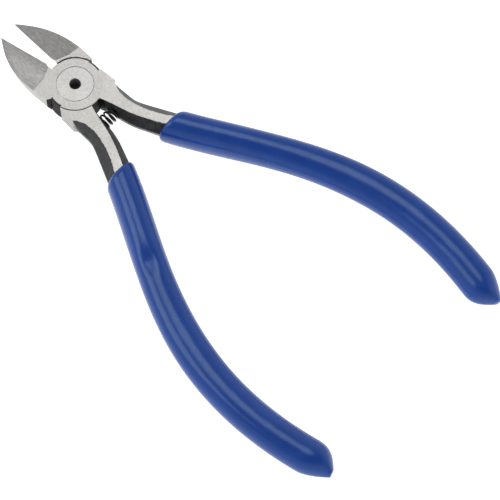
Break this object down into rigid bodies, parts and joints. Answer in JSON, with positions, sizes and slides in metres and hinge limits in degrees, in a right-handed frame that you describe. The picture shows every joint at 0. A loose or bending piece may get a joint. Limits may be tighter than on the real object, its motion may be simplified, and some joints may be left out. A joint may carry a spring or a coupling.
{
  "type": "side-cutting nippers",
  "caption": "Small side-cutting nippers for trimming plastic sprues, with a riveted lap joint, a return spring and dip-coated handles.",
  "frame": {"origin": "on the pivot axis, at the flat back of the joint", "axes": "+X along the bisector of the handles, from the pivot towards the cutting tips; +Z from the back towards the flush-cutting side; +Y to the left of +X"},
  "size_m": [0.1263, 0.0676, 0.0087],
  "materials": {
    "ground_steel": "ground bright faces, oxide-black forged sides, finely ground grey blades",
    "rivet_steel": "ground flush with the joint",
    "spring_steel": "black oxide",
    "grip_blue": "glossy dip-coated soft vinyl"
  },
  "bodies": {
    "back_body": {"back_lever": "ground_steel", "back_grip": "grip_blue", "pivot_rivet": "rivet_steel", "coil_spring": "spring_steel"},
    "front_body": {"front_lever": "ground_steel", "front_grip": "grip_blue"}
  },
  "joints": [
    {"name": "pivot", "type": "hinge", "parent": "back_body", "child": "front_body", "pos_m": [0, 0, 0.00325], "axis": [0, 0, 1], "range_deg": [-11.4, 3], "stiffness_Nm_per_rad": 0.85, "deforming": ["coil_spring"]}
  ]
}
